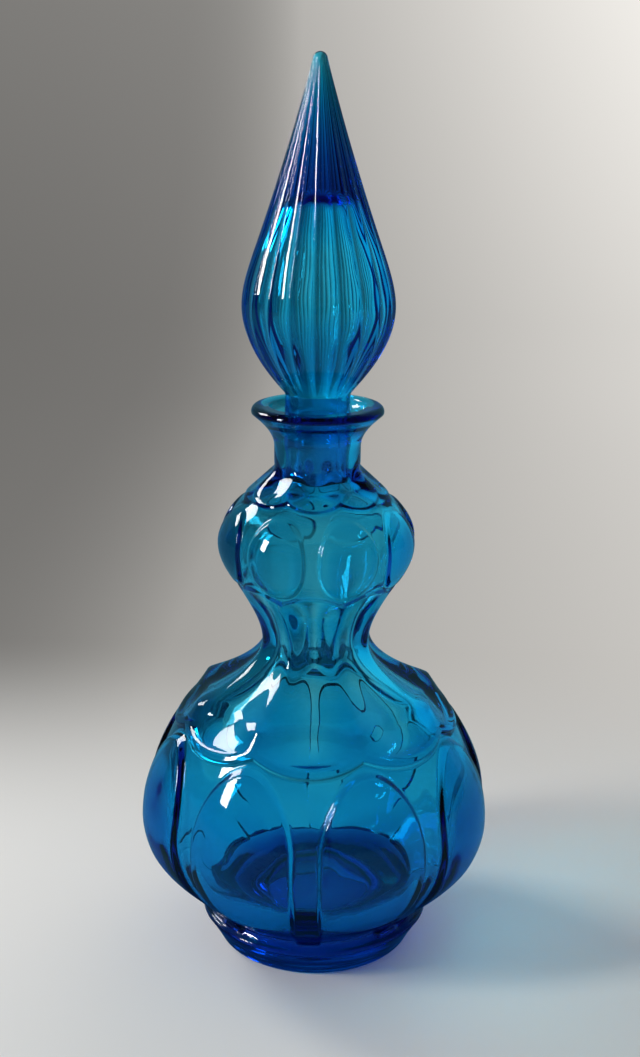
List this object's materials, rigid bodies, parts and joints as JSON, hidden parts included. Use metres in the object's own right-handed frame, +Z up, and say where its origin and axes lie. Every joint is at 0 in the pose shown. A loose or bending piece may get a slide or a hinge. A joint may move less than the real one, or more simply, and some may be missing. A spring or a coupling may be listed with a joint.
{
  "type": "decanter with stopper",
  "caption": "Clear blue moulded glass decanter: an arch-panelled round body under a smaller oval-panelled bulb, closed by a tall fluted stopper that tapers to a point.",
  "frame": {"origin": "on the bottle's axis in the plane that the foot stands on", "axes": "+Z up along the axis, through bottle and stopper; -Y faces a gap between two panels"},
  "size_m": [0.1264, 0.1264, 0.3201],
  "materials": {
    "bottle_glass": "clear transparent blue, fire-polished, deeper royal blue where the glass is thick",
    "stopper_glass": "clear transparent blue, fire-polished, near navy in the solid point"
  },
  "bodies": {
    "bottle": {"bottle": "bottle_glass"},
    "stopper": {"stopper": "stopper_glass"}
  },
  "joints": [
    {"name": "stopper_lift", "type": "slide", "parent": "bottle", "child": "stopper", "axis": [0, 0, 1], "range_m": [0, 0.08]}
  ]
}
